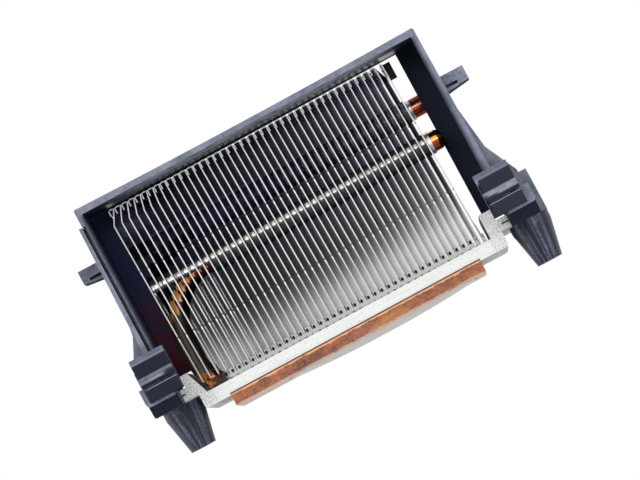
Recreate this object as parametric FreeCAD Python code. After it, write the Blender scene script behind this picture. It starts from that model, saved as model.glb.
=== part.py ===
"""CPU heatsink: a racked stack of thin folded fins on an extruded aluminium base, two bent copper
heat pipes, a copper contact slab, and a moulded frame with pin clips, lugs and screw towers.

Frame: +X to the right seen from the frame's mouth, +Y to the rear, +Z up. The origin is midway
between the two fixing holes, on the plane of the sleeve tips. All sizes are in millimetres.
"""
import FreeCAD, Part
import math
import os

V = FreeCAD.Vector

# Fin stack
FIN_COUNT = 41
FIN_PITCH = 2.177
FIN_T = 0.34
FIN_H = 58.45
FIN_DEPTH = 50.5
FIN_LEAN = 0.0283          # sideways lean of every web, mm to the left for each mm of height
FIN_REAR_SHIFT = 2.45      # the racked stack's rear edges stand this far to the right
END_RELAX = 0.57           # share of that shift that the last fin has lost
SPREAD = 1.3               # extra width that the first fins have fanned out
SPREAD_FINS = 8
TOP_BEND = 2.25            # how far the first fin's top is knocked to the right
BENT_FINS = 8
BEND_H = 4.8
LIP_CURL = 1.95
LIP_CORNER = 0.5
LIP_FREE = 1.5             # lip length of the first fin, which has no neighbour
FIN_CLEAR = 0.1
TONGUE_LOW_H = 1.4
TONGUE_H = 2.7
TONGUE_SHARE = 0.68        # width of the tongue's upper part, as a share of its root
END_EAR_W = 2.1
END_EAR_H = 5.1
END_EAR_SETBACK = 8.0

# Heat pipes
PIPE_R = 3.0
PIPE_FIT = 0.05
PIPE_SETBACK = 7.0         # front pipe's axis behind the base's front face
PIPE_SPACING = 18.0
PIPE_FRONT_RISE = 35.7     # upper leg above the lower leg
PIPE_REAR_RISE = 47.85
UPPER_BEND_R = 16.75
LOWER_BEND_R = 13.0
PIPE_INSET = 0.95          # upright run, to the right of the first fin's foot
PIPE_TIP = 5.4             # front pipe beyond the last fin
PIPE_REAR_EXTRA = 2.0      # rear pipe beyond the front one, behind the frame's flange
PIPE_TIP_TAPER = 1.1
LOWER_LEG_SHORT = 6.5      # lower leg stops this far short of the slab's right end
COLLAR_T = 0.32
COLLAR_RING = 1.35         # collar beyond the last fin
COLLAR_OPEN = 0.45         # rim of the open collars below the pipe's axis
COLLAR_INSET = 2.0         # open collars start this far to the right of the upright run
PIPE_SIDES = 18            # flat sides that a pipe and its collars are drawn with
HOLE_SIDES = 8             # flat sides of what stays out of sight

# Copper slab
COPPER_W = 79.9
COPPER_T = 4.0
COPPER_DEPTH = 39.3
COPPER_LET_IN = 0.7
COPPER_PROUD = 0.3         # slab's front face ahead of the base's

# Extruded base
BASE_T = 4.1
BASE_DEPTH = 52.0
BASE_CORNER = 0.8
FIN_INSET = 0.5
UPRIGHT_H = 7.4
RIGHT_UPRIGHT_T = 3.7
RIGHT_UPRIGHT_GAP = 2.3    # from the last fin's foot line to the right upright
LEFT_UPRIGHT_T = 2.0
LEFT_UPRIGHT_LEAN = 2.85
LEFT_FOOT_T = 2.55
UPRIGHT_PIPE_CLEAR = 0.95
EAR_LIFT = 0.55            # underside of the ears above the base's top
EAR_T = 3.4
EAR_OVER = 3.75            # ear beyond the screw's axis
EAR_SLOT_H = 0.45
EAR_SLOT_DROP = 1.45
EAR_SLOT_INSET = 1.0
EAR_HOLE_R = 3.0
PIPE_SLOT_CLEAR = 0.2

# Moulded frame
BODY_X = -1.5              # middle of the frame, seen from the fixing holes' middle
LEFT_ROOM = 7.15           # from the left wall to the first fin's foot
RIGHT_ROOM = 9.3
BASE_SETBACK = 11.0        # base's front face behind the frame's mouth
RIM_T = 1.65
RAIL_T = 2.1
RAIL_SAG = 0.55
RAIL_CLEAR = 1.65
RAIL_CORNER = 0.6
RAIL_LIP_T = 1.2
RAIL_LIP_LEFT = 0.7        # drop of the lip under the rail's rear edge, at its left end
RAIL_LIP_RIGHT = 0.15
FLANGE_W = 5.7
FLANGE_T = 2.0
FLANGE_CLEAR = 0.6
SKIN_STEP_DROP = 5.45
SKIN_OUT = 1.1
SKIN_T = 0.95
RIM_GROOVE_W = 1.0
RIM_GROOVE_DEPTH = 6.0
WALL_DRAFT = 0.8
SEAT_CLEAR = 0.05

# Side lugs
LUG_REACH = 7.3
LUG_DROP = 15.6
LUG_H = 4.1
LUG_ROOT_DROP = 1.0
LUG_DEPTH = 10.0
LUG_SETBACK = 3.5
LUG_SLOT_IN = 0.4
LUG_SLOT_W = 3.7
LUG_SLOT_H = 0.9
LUG_SLOT_DEPTH = 3.0

# Pin clips
CLIP_W = 10.4
CLIP_IN = 3.0              # clip reaches this far inside the wall's inner face
CLIP_SHIFT = 0.5           # both clips stand this far to the left of the frame's middle
CLIP_OUT = 4.0
CLIP_BACK = 4.0
CLIP_H = 13.1
CLIP_LIFT = 0.15           # clip's bottom above the ear's top
CLIP_FACET_H = 1.95
CLIP_FACET_RUN = 1.3
CLIP_FACE_H = 3.7          # face under the facet, which falls back towards the nose
CLIP_FACE_RUN = 1.7
CLIP_NOSE_H = 3.15
CLIP_NOSE_OUT = 1.0
CLIP_SLIT_H = 0.4
CLIP_SLIT_DEPTH = 3.0
CLIP_JAW_SHORT = 0.5
CLIP_JAW_RUN = 1.2         # how far the jaw's face falls back towards its bottom
CLIP_JAW_ROUND = 0.6
PLATE_W = 9.4
PLATE_H = 5.5
PLATE_DROP = 0.7           # plate's bottom below the ear's top
PLATE_CORNER = 1.3
FOOT_W = 9.1
FOOT_IN = 0.1
FOOT_H = 3.95
FOOT_RUN = 1.5             # how far the foot's front falls back towards its bottom
FOOT_CLEAR = 0.25

# Screw towers and sleeves
TOWER_OUT = 3.85           # screw's axis outside the wall's inner face
TOWER_R = 6.15
TOWER_FLAT = 4.9           # squared outer half of a tower, in front of its axis
TOWER_H = 9.6
GUSSET_FOOT_W = 8.6
GUSSET_KNEE_W = 3.8
GUSSET_KNEE_H = 9.8
GUSSET_TOP_H = 26.0
GUSSET_SETBACK = 4.0
GUSSET_TAIL = 4.0
TIP_DROP = 5.4             # sleeve tips below the slab's contact face
TIP_R = 3.86
SLEEVE_BORE_R = 2.3
SPIGOT_FIT = 0.03          # sleeve's spigot in the ear's hole
SOCKET_DROP = 1.4          # round socket's end below the ear
SKIRT_H = 2.2              # sleeve's straight top

# Captive screws
SCREW_R = 2.0
SCREW_HEAD_R = 3.8         # to the corners of the six-sided head
SCREW_HEAD_H = 2.6
SCREW_TIP_DROP = 0.85      # screw's end below the ear, above the sleeve's socket
SCREW_HEAD_CLEAR = 0.4
DRIVE_W = 0.9
DRIVE_L = 4.6
DRIVE_DEPTH = 1.5
SPRING_R = 3.3
SPRING_WIRE = 0.9
TOWER_FLOOR_T = 2.2

# Heights
COPPER_Z = TIP_DROP
COPPER_TOP_Z = COPPER_Z + COPPER_T
BASE_Z = COPPER_TOP_Z - COPPER_LET_IN
BASE_TOP_Z = BASE_Z + BASE_T
FIN_TOP_Z = BASE_TOP_Z + FIN_H
RAIL_Z = FIN_TOP_Z + RAIL_CLEAR
RAIL_TOP_Z = RAIL_Z + RAIL_T
EAR_Z = BASE_TOP_Z + EAR_LIFT
EAR_TOP_Z = EAR_Z + EAR_T
UPRIGHT_TOP_Z = BASE_TOP_Z + UPRIGHT_H
SEAT_Z = EAR_TOP_Z + SEAT_CLEAR
TOWER_TOP_Z = EAR_TOP_Z + TOWER_H
TOWER_FLOOR_Z = SEAT_Z + TOWER_FLOOR_T

# Depths
COPPER_Y = -COPPER_DEPTH / 2
BASE_Y = COPPER_Y + COPPER_PROUD
FIN_Y = BASE_Y + FIN_INSET
FRAME_Y = BASE_Y - BASE_SETBACK
PIPE_FRONT_Y = BASE_Y + PIPE_SETBACK
PIPE_REAR_Y = PIPE_FRONT_Y + PIPE_SPACING
FLANGE_Y = (PIPE_FRONT_Y + PIPE_REAR_Y - FLANGE_T) / 2
FRAME_REAR_Y = FLANGE_Y + FLANGE_T

# Widths
STACK_W = (FIN_COUNT - 1) * FIN_PITCH + SPREAD
INNER_HALF = (STACK_W + LEFT_ROOM + RIGHT_ROOM) / 2
OUTER_HALF = INNER_HALF + RIM_T
FIRST_FOOT_X = BODY_X - INNER_HALF + LEFT_ROOM
LAST_FOOT_X = FIRST_FOOT_X + STACK_W
SCREW_X = INNER_HALF + TOWER_OUT
RUN_X = FIRST_FOOT_X + PIPE_INSET
UPPER_BEND_END_X = RUN_X + UPPER_BEND_R
LOWER_BEND_END_X = RUN_X + LOWER_BEND_R
COPPER_X = BODY_X - COPPER_W / 2
LOWER_LEG_END_X = COPPER_X + COPPER_W - LOWER_LEG_SHORT
PIPE_FLAT_R = PIPE_R * math.cos(math.pi / PIPE_SIDES)
COLLAR_FLAT_R = PIPE_FLAT_R + PIPE_FIT + COLLAR_T
HOLE_R = COLLAR_FLAT_R / math.cos(math.pi / PIPE_SIDES) + PIPE_FIT
EAR_HALF = SCREW_X + EAR_OVER


def box(x0, x1, y0, y1, z0, z1):
    """A block between two opposite corners."""
    return Part.makeBox(x1 - x0, y1 - y0, z1 - z0, V(x0, y0, z0))


def side_box(side, near, far, y0, y1, z0, z1):
    """A block from near to far outside the frame's middle, on one side of it."""
    ends = sorted((BODY_X + side * near, BODY_X + side * far))
    return box(ends[0], ends[1], y0, y1, z0, z1)


def prism(points, y0, run):
    """A polygon in X and Z, carried from y0 along the vector run."""
    corners = [V(x, y0, z) for x, z in points]
    wire = Part.makePolygon(corners + corners[:1])
    return Part.Face(wire).extrude(run)


def upright_cylinder(x, y, radius, z0, z1):
    """A round bar along Z."""
    return Part.makeCylinder(radius, z1 - z0, V(x, y, z0))


def cross_cylinder(y, z, radius, x0, x1):
    """A round bar along X."""
    return Part.makeCylinder(radius, x1 - x0, V(x0, y, z), V(1, 0, 0))


def flat_ring(centre, radius, sides, along):
    """A closed even-sided ring about an axis, its flats at the given radius."""
    reach = radius / math.cos(math.pi / sides)
    across = V(0, 1, 0)
    up = along.cross(across)
    turns = [2 * math.pi * (i + 0.5) / sides for i in range(sides)]
    corners = [centre + across * (reach * math.cos(a)) + up * (reach * math.sin(a)) for a in turns]
    return Part.makePolygon(corners + corners[:1])


def flat_sided(centre, radius, sides, run):
    """A bar along the vector run, its flats at the given radius."""
    return Part.Face(flat_ring(centre, radius, sides, V(run).normalize())).extrude(run)


def flat_sided_upright(x, radius, sides, z0, z1):
    """A flat-sided bar along Z on a screw's axis."""
    return flat_sided(V(x, 0, z0), radius, sides, V(0, 0, z1 - z0))


def foot_x(k):
    """Left face of fin k's web where it leaves the base."""
    fanned = max(0.0, (SPREAD_FINS - k) / SPREAD_FINS) ** 2
    return FIRST_FOOT_X + SPREAD + k * FIN_PITCH - SPREAD * fanned


def rear_shift(k):
    """How far fin k's rear edge stands to the right of its front edge."""
    from_end = FIN_COUNT - 1 - k
    return FIN_REAR_SHIFT * (1 - END_RELAX / (1 + from_end) ** 2)


def top_bend(k):
    """How far fin k's top is knocked to the right."""
    return TOP_BEND * max(0.0, 1 - k / BENT_FINS)


def foot_length(k):
    """Length of fin k's foot, which stops short of the next web at its closest."""
    if k == FIN_COUNT - 1:
        return RIGHT_UPRIGHT_GAP - FIN_T - rear_shift(k) - FIN_CLEAR
    closing = max(0.0, rear_shift(k) - rear_shift(k + 1))
    return foot_x(k + 1) - foot_x(k) - FIN_T - closing - FIN_CLEAR


def lip_length(k):
    """Length of fin k's top lip, which reaches left towards its neighbour."""
    if k == 0:
        return LIP_FREE
    return foot_length(k - 1) - (top_bend(k - 1) - top_bend(k))


def web_x(k, y, z):
    """Left face of fin k's web at a depth and height below the knocked tops."""
    return foot_x(k) - FIN_LEAN * (z - BASE_TOP_Z) + rear_shift(k) * (y - FIN_Y) / FIN_DEPTH


def fin_section(k):
    """Corners of a fin's folded section: foot to the right, leaning web, lip curled to the left."""
    foot = foot_x(k)
    foot_end = foot + FIN_T + foot_length(k)
    bend_z = FIN_TOP_Z - BEND_H
    bend_x = foot - FIN_LEAN * (bend_z - BASE_TOP_Z)
    top = foot - FIN_LEAN * FIN_H + top_bend(k)
    lip_end = top - lip_length(k)
    right_bend = [(bend_x + FIN_T, bend_z)] if k < BENT_FINS else []
    left_bend = [(bend_x, bend_z)] if k < BENT_FINS else []
    return [
        (foot, BASE_TOP_Z),
        (foot_end, BASE_TOP_Z),
        (foot_end, BASE_TOP_Z + FIN_T),
        (foot + FIN_T, BASE_TOP_Z + FIN_T),
        *right_bend,
        (top + FIN_T, FIN_TOP_Z - LIP_CORNER),
        (top + FIN_T - LIP_CORNER, FIN_TOP_Z),
        (lip_end + LIP_CORNER, FIN_TOP_Z),
        (lip_end, FIN_TOP_Z - LIP_CORNER),
        (lip_end, FIN_TOP_Z - LIP_CURL),
        (lip_end + FIN_T, FIN_TOP_Z - LIP_CURL),
        (lip_end + FIN_T, FIN_TOP_Z - FIN_T),
        (top, FIN_TOP_Z - FIN_T),
        *left_bend,
    ]


def lock_tongue(k):
    """The foot's front end turned up, with a narrower tongue that locks the stack."""
    root = foot_x(k) + FIN_T / 2
    end = foot_x(k) + FIN_T + foot_length(k)
    width = foot_length(k) * TONGUE_SHARE
    middle = end - foot_length(k) / 2
    low_z = BASE_TOP_Z + TONGUE_LOW_H
    high_z = BASE_TOP_Z + TONGUE_H
    outline = [
        (root, BASE_TOP_Z),
        (end, BASE_TOP_Z),
        (end, low_z),
        (middle + width / 2, low_z),
        (middle + width / 2, high_z),
        (middle - width / 2, high_z),
        (middle - width / 2, low_z),
        (root, low_z),
    ]
    return prism(outline, FIN_Y, V(0, FIN_T, 0))


def end_ear(k):
    """A corner of the last fin's top, folded outwards."""
    ear_y = FIN_Y + END_EAR_SETBACK
    ear_top = FIN_TOP_Z
    root = web_x(k, ear_y, ear_top)
    return box(root + FIN_T / 2, root + FIN_T + END_EAR_W, ear_y, ear_y + FIN_T, ear_top - END_EAR_H, ear_top)


def pipe_lines():
    """Depth, upper height and length beyond the last fin of the two heat pipes."""
    lower_z = COPPER_TOP_Z
    return [
        ("front", PIPE_FRONT_Y, lower_z + PIPE_FRONT_RISE, PIPE_TIP),
        ("rear", PIPE_REAR_Y, lower_z + PIPE_REAR_RISE, PIPE_TIP + PIPE_REAR_EXTRA),
    ]


def pipe_opening(k, y, z):
    """What fin k is cut by: a round hole on the straight leg, a slot down to the foot at the bend."""
    x0 = foot_x(k) - FIN_PITCH
    x1 = foot_x(k) + FIN_REAR_SHIFT + FIN_PITCH
    hole = flat_sided(V(x0, y, z), HOLE_R, HOLE_SIDES, V(x1 - x0, 0, 0))
    if web_x(k, y, z) > UPPER_BEND_END_X:
        return hole
    return hole.fuse(box(x0, x1, y - HOLE_R, y + HOLE_R, BASE_TOP_Z - FIN_T, z)).removeSplitter()


def fin(k):
    """One folded fin with its lock tongue and pipe openings."""
    solid = prism(fin_section(k), FIN_Y, V(rear_shift(k), FIN_DEPTH, 0))
    solid = solid.fuse(lock_tongue(k))
    if k == FIN_COUNT - 1:
        solid = solid.fuse(end_ear(k))
    for _, y, z, _ in pipe_lines():
        solid = solid.cut(pipe_opening(k, y, z))
    return solid.removeSplitter()


def quarter_bend(centre, start, sense):
    """A quarter turn of pipe about a line along Y through centre, from a section at start."""
    section = Part.Face(flat_ring(start, PIPE_FLAT_R, PIPE_SIDES, V(1, 0, 0)))
    return section.revolve(centre, V(0, sense, 0), 90)


def straight_pipe(start, run):
    """A straight stretch of pipe from start along the vector run."""
    return flat_sided(start, PIPE_FLAT_R, PIPE_SIDES, run)


def pipe_tip(start):
    """The tapered end of an upper leg."""
    end = start + V(PIPE_TIP_TAPER, 0, 0)
    rings = [flat_ring(at, radius, PIPE_SIDES, V(1, 0, 0))
             for at, radius in ((start, PIPE_FLAT_R), (end, PIPE_FLAT_R - PIPE_TIP_TAPER))]
    return Part.makeLoft(rings, True, True)


def heat_pipe(y, upper_z, tip):
    """A round pipe: lower leg in the base, a bend up, an upright run, a bend over, an upper leg."""
    lower_z = COPPER_TOP_Z
    tip_x = LAST_FOOT_X - FIN_LEAN * (upper_z - BASE_TOP_Z) + tip
    low = V(LOWER_BEND_END_X, y, lower_z + LOWER_BEND_R)
    high = V(UPPER_BEND_END_X, y, upper_z - UPPER_BEND_R)
    leg_start = V(low.x, y, lower_z)
    over = V(high.x, y, upper_z)
    taper = V(tip_x - PIPE_TIP_TAPER, y, upper_z)
    pieces = [
        quarter_bend(low, leg_start, 1),
        straight_pipe(V(RUN_X, y, low.z), V(0, 0, high.z - low.z)),
        quarter_bend(high, over, -1),
        straight_pipe(over, taper - over),
        pipe_tip(taper),
    ]
    lower_leg = straight_pipe(leg_start, V(LOWER_LEG_END_X - low.x, 0, 0))
    return lower_leg.fuse(pieces).removeSplitter()


def collar_sleeve(y, upper_z):
    """The fins' drawn collars, which butt into one thin sleeve, open below where the pipe bends away."""
    start = V(RUN_X + COLLAR_INSET, y, upper_z)
    end_x = LAST_FOOT_X - FIN_LEAN * (upper_z - BASE_TOP_Z) + FIN_T + COLLAR_RING
    run = V(end_x - start.x, 0, 0)
    outer = flat_sided(start, COLLAR_FLAT_R, PIPE_SIDES, run)
    inner = flat_sided(start, PIPE_FLAT_R + PIPE_FIT, PIPE_SIDES, run)
    below = box(start.x, UPPER_BEND_END_X, y - HOLE_R, y + HOLE_R, upper_z - HOLE_R, upper_z - COLLAR_OPEN)
    return outer.cut([inner, below])


def copper_slab():
    """The contact slab, with a half-round groove for each pipe's lower leg."""
    slab = box(COPPER_X, COPPER_X + COPPER_W, COPPER_Y, COPPER_Y + COPPER_DEPTH, COPPER_Z, COPPER_TOP_Z)
    for _, y, _, _ in pipe_lines():
        slab = slab.cut(cross_cylinder(y, COPPER_TOP_Z, PIPE_R + PIPE_FIT, RUN_X, LOWER_LEG_END_X + PIPE_FIT))
    return slab


def base_section():
    """Corners of the extrusion: floor, square right upright, leaning left upright, and two ears."""
    right_in = LAST_FOOT_X + RIGHT_UPRIGHT_GAP
    right_out = right_in + RIGHT_UPRIGHT_T
    left_top_in = RUN_X - PIPE_R - UPRIGHT_PIPE_CLEAR
    left_top_out = left_top_in - LEFT_UPRIGHT_T
    left_foot_in = left_top_in + LEFT_UPRIGHT_LEAN
    left_foot_out = left_foot_in - LEFT_FOOT_T
    return [
        (left_foot_out, BASE_Z),
        (right_out, BASE_Z),
        (right_out, EAR_Z),
        (EAR_HALF, EAR_Z),
        (EAR_HALF, EAR_TOP_Z),
        (right_out, EAR_TOP_Z),
        (right_out, UPRIGHT_TOP_Z),
        (right_in, UPRIGHT_TOP_Z),
        (right_in, BASE_TOP_Z),
        (left_foot_in, BASE_TOP_Z),
        (left_top_in, UPRIGHT_TOP_Z),
        (left_top_out, UPRIGHT_TOP_Z),
        (left_top_out, EAR_TOP_Z),
        (-EAR_HALF, EAR_TOP_Z),
        (-EAR_HALF, EAR_Z),
        (left_foot_out, EAR_Z),
    ]


def base_extrusion():
    """The sawn length of extrusion, with its slab seat, pipe grooves and slots, and screw holes."""
    rear_y = BASE_Y + BASE_DEPTH
    base = prism(base_section(), BASE_Y, V(0, BASE_DEPTH, 0))
    seat_rear_y = COPPER_Y + COPPER_DEPTH + SEAT_CLEAR
    cuts = [box(COPPER_X - SEAT_CLEAR, COPPER_X + COPPER_W + SEAT_CLEAR, BASE_Y, seat_rear_y,
                BASE_Z, COPPER_TOP_Z)]
    slot_half = PIPE_R + PIPE_SLOT_CLEAR
    bend_outer = LOWER_BEND_R + PIPE_R
    bend_drop = COPPER_TOP_Z + LOWER_BEND_R - BASE_TOP_Z
    slot_x = LOWER_BEND_END_X - math.sqrt(bend_outer ** 2 - bend_drop ** 2) - PIPE_SLOT_CLEAR
    for _, y, _, _ in pipe_lines():
        cuts.append(cross_cylinder(y, COPPER_TOP_Z, PIPE_R + PIPE_FIT, slot_x, LOWER_LEG_END_X + PIPE_FIT))
        cuts.append(box(slot_x, LOWER_BEND_END_X, y - slot_half, y + slot_half, BASE_Z, BASE_TOP_Z))
    slot_z = EAR_TOP_Z - EAR_SLOT_DROP
    right_slot_x = LAST_FOOT_X + RIGHT_UPRIGHT_GAP + RIGHT_UPRIGHT_T + EAR_SLOT_INSET
    left_slot_x = RUN_X - PIPE_R - UPRIGHT_PIPE_CLEAR - LEFT_UPRIGHT_T - EAR_SLOT_INSET
    cuts.append(box(right_slot_x, EAR_HALF, BASE_Y, rear_y, slot_z - EAR_SLOT_H, slot_z))
    cuts.append(box(-EAR_HALF, left_slot_x, BASE_Y, rear_y, slot_z - EAR_SLOT_H, slot_z))
    for side in (-1, 1):
        cuts.append(flat_sided_upright(side * SCREW_X, EAR_HOLE_R, HOLE_SIDES, EAR_Z, EAR_TOP_Z))
    corners = [e for e in base.Edges
               if e.BoundBox.ZMax < BASE_Z + SEAT_CLEAR and e.BoundBox.XLength < SEAT_CLEAR]
    return base.makeFillet(BASE_CORNER, corners).cut(cuts).removeSplitter()


def frame_shell():
    """Top rail and two side walls, one section carried from the mouth to the rear edge."""
    low_half = OUTER_HALF + WALL_DRAFT
    skin_half = OUTER_HALF + SKIN_OUT
    skin_z = RAIL_TOP_Z - SKIN_STEP_DROP
    top = [V(BODY_X + s * OUTER_HALF, FRAME_Y, RAIL_TOP_Z) for s in (-1, 1)]
    dip = V(BODY_X, FRAME_Y, RAIL_TOP_Z - RAIL_SAG)
    rest = [
        (BODY_X + OUTER_HALF, RAIL_TOP_Z),
        (BODY_X + low_half, SEAT_Z),
        (BODY_X + INNER_HALF, SEAT_Z),
        (BODY_X + INNER_HALF, RAIL_Z),
        (BODY_X - INNER_HALF, RAIL_Z),
        (BODY_X - INNER_HALF, SEAT_Z),
        (BODY_X - skin_half - WALL_DRAFT, SEAT_Z),
        (BODY_X - skin_half, skin_z),
        (BODY_X - OUTER_HALF, skin_z),
        (BODY_X - OUTER_HALF, RAIL_TOP_Z),
    ]
    arc = Part.Arc(top[0], dip, top[1]).toShape()
    line = Part.makePolygon([V(x, FRAME_Y, z) for x, z in rest])
    section = Part.Wire([arc] + line.Edges)
    shell = Part.Face(section).extrude(V(0, FRAME_REAR_Y - FRAME_Y, 0))
    corners = [e for e in shell.Edges
               if e.BoundBox.ZMin > RAIL_TOP_Z - SEAT_CLEAR and e.BoundBox.XLength < SEAT_CLEAR]
    return shell.makeFillet(RAIL_CORNER, corners)


def rail_lip():
    """The tapered lip under the rail's rear edge, between the two flanges."""
    outline = [
        (BODY_X - INNER_HALF, RAIL_Z + RAIL_T / 2),
        (BODY_X + INNER_HALF, RAIL_Z + RAIL_T / 2),
        (BODY_X + INNER_HALF, RAIL_Z - RAIL_LIP_RIGHT),
        (BODY_X - INNER_HALF, RAIL_Z - RAIL_LIP_LEFT),
    ]
    return prism(outline, FRAME_REAR_Y - RAIL_LIP_T, V(0, RAIL_LIP_T, 0))


def rear_flange(side):
    """The inward strip that closes part of the way beside the fins."""
    return side_box(side, INNER_HALF - FLANGE_W, INNER_HALF + RIM_T / 2, FLANGE_Y, FRAME_REAR_Y,
                    UPRIGHT_TOP_Z + FLANGE_CLEAR, RAIL_Z + RAIL_T / 2)


def side_lug(side):
    """A tapered snap lug on the wall's outside, with a shallow slot in its front."""
    top_z = RAIL_TOP_Z - LUG_DROP
    root = INNER_HALF + RIM_T / 2
    tip = OUTER_HALF + LUG_REACH
    y0 = FRAME_Y + LUG_SETBACK
    outline = [(root, top_z), (tip, top_z), (tip, top_z - LUG_H), (root, top_z - LUG_H - LUG_ROOT_DROP)]
    lug = prism([(BODY_X + side * x, z) for x, z in outline], y0, V(0, LUG_DEPTH, 0))
    slot_x = OUTER_HALF + SKIN_OUT + LUG_SLOT_IN if side < 0 else OUTER_HALF + LUG_SLOT_IN
    slot_z = top_z - LUG_H + LUG_ROOT_DROP / 4
    slot = side_box(side, slot_x, slot_x + LUG_SLOT_W, y0, y0 + LUG_SLOT_DEPTH, slot_z, slot_z + LUG_SLOT_H)
    return lug.cut(slot)


def cross_prism(side, near, far, points):
    """A polygon in Y and Z, carried along X from near to far outside the frame's middle."""
    x0, x1 = sorted((BODY_X + side * near, BODY_X + side * far))
    corners = [V(x0, y, z) for y, z in points]
    return Part.Face(Part.makePolygon(corners + corners[:1])).extrude(V(x1 - x0, 0, 0))


def clip_section():
    """Side view of a pin clip in Y and Z: facet, face that falls back, round nose, slit, lower jaw."""
    bottom = EAR_TOP_Z + CLIP_LIFT
    top = bottom + CLIP_H
    back = FRAME_Y + CLIP_BACK
    front = FRAME_Y - CLIP_OUT
    nose_y = front + CLIP_FACE_RUN
    nose_top = top - CLIP_FACET_H - CLIP_FACE_H
    nose_low = nose_top - CLIP_NOSE_H
    slit_low = nose_low - CLIP_SLIT_H
    slit_end = nose_y + CLIP_SLIT_DEPTH
    jaw = front + CLIP_JAW_SHORT

    def run(*points):
        return Part.makePolygon([V(0, y, z) for y, z in points]).Edges

    nose = Part.Arc(V(0, nose_y, nose_top), V(0, nose_y - CLIP_NOSE_OUT, (nose_top + nose_low) / 2),
                    V(0, nose_y, nose_low))
    return Part.Wire(
        run((back, bottom), (back, top), (front + CLIP_FACET_RUN, top), (front, top - CLIP_FACET_H),
            (nose_y, nose_top))
        + [nose.toShape()]
        + run((nose_y, nose_low), (slit_end, nose_low), (slit_end, slit_low), (jaw, slit_low),
              (jaw + CLIP_JAW_RUN, bottom + CLIP_JAW_ROUND), (jaw + CLIP_JAW_RUN + CLIP_JAW_ROUND, bottom),
              (back, bottom)))


def pin_clip(side):
    """A clip that a cross pin snaps into from the front."""
    near = INNER_HALF - CLIP_IN
    start = BODY_X - CLIP_SHIFT + (near if side > 0 else -near - CLIP_W)
    section = Part.Face(clip_section())
    section.translate(V(start, 0, 0))
    return section.extrude(V(CLIP_W, 0, 0))


def clip_plate(side):
    """The flat plate behind and below a clip's jaw, round at its lower outer corner."""
    low = EAR_TOP_Z - PLATE_DROP
    plate = side_box(side, INNER_HALF, INNER_HALF + PLATE_W, FRAME_Y, FRAME_Y + CLIP_BACK + FOOT_CLEAR,
                     low, low + PLATE_H)
    outer_x = BODY_X + side * (INNER_HALF + PLATE_W)
    corner = [e for e in plate.Edges
              if abs(e.CenterOfMass.x - outer_x) < SEAT_CLEAR and abs(e.CenterOfMass.z - low) < SEAT_CLEAR]
    return plate.makeFillet(PLATE_CORNER, corner)


def clip_foot(side):
    """The block under a clip, in front of the base's ear, its face falling back."""
    near = INNER_HALF - FOOT_IN
    top = EAR_TOP_Z
    rear = BASE_Y - FOOT_CLEAR
    return cross_prism(side, near, near + FOOT_W, [
        (FRAME_Y, top),
        (FRAME_Y + FOOT_RUN, top - FOOT_H),
        (rear, top - FOOT_H),
        (rear, top),
    ])


def gusset(side):
    """The flared web that carries a screw tower on the wall."""
    root = INNER_HALF + RIM_T / 2
    foot = INNER_HALF + GUSSET_FOOT_W
    knee = INNER_HALF + GUSSET_KNEE_W
    top_z = TOWER_TOP_Z + GUSSET_TOP_H
    outline = [
        (root, SEAT_Z),
        (foot, SEAT_Z),
        (foot, TOWER_TOP_Z),
        (knee, TOWER_TOP_Z + GUSSET_KNEE_H),
        (OUTER_HALF, top_z),
        (root, top_z),
    ]
    y0 = FRAME_Y + GUSSET_SETBACK
    return prism([(BODY_X + side * x, z) for x, z in outline], y0, V(0, GUSSET_TAIL - y0, 0))


def screw_tower(side):
    """The tower over an ear, squared on its outer side, trimmed flush with the wall's inner face."""
    tower = upright_cylinder(side * SCREW_X, 0, TOWER_R, EAR_Z, TOWER_TOP_Z)
    ends = sorted((side * SCREW_X, side * (SCREW_X + TOWER_R)))
    tower = tower.fuse(box(ends[0], ends[1], -TOWER_FLAT, 0, EAR_Z, TOWER_TOP_Z))
    inside = side_box(side, 0, INNER_HALF, -TOWER_R, TOWER_R, EAR_Z, TOWER_TOP_Z)
    return tower.cut(inside)


def frame_moulding():
    """The moulded frame with everything that is moulded on it."""
    frame = frame_shell()
    pieces = [rail_lip()]
    cuts = []
    for side in (-1, 1):
        pieces += [rear_flange(side), side_lug(side), pin_clip(side), clip_plate(side), clip_foot(side),
                   gusset(side), screw_tower(side)]
        x = side * SCREW_X
        bore_r = SCREW_HEAD_R + SCREW_HEAD_CLEAR
        cuts.append(upright_cylinder(x, 0, bore_r, TOWER_FLOOR_Z, TOWER_TOP_Z))
        cuts.append(flat_sided_upright(x, SLEEVE_BORE_R, HOLE_SIDES, EAR_Z, TOWER_FLOOR_Z))
        cuts.append(side_box(side, 0, side * (side * EAR_HALF - BODY_X) + SEAT_CLEAR, BASE_Y - SEAT_CLEAR,
                             BASE_Y + BASE_DEPTH, EAR_Z, SEAT_Z))
    groove_x = OUTER_HALF + SKIN_OUT - SKIN_T
    cuts.append(side_box(-1, groove_x - RIM_GROOVE_W, groove_x, FRAME_Y, FRAME_Y + RIM_GROOVE_DEPTH,
                         EAR_TOP_Z + CLIP_LIFT + CLIP_H, RAIL_TOP_Z - SKIN_STEP_DROP))
    return frame.fuse(pieces).cut(cuts).removeSplitter()


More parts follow.
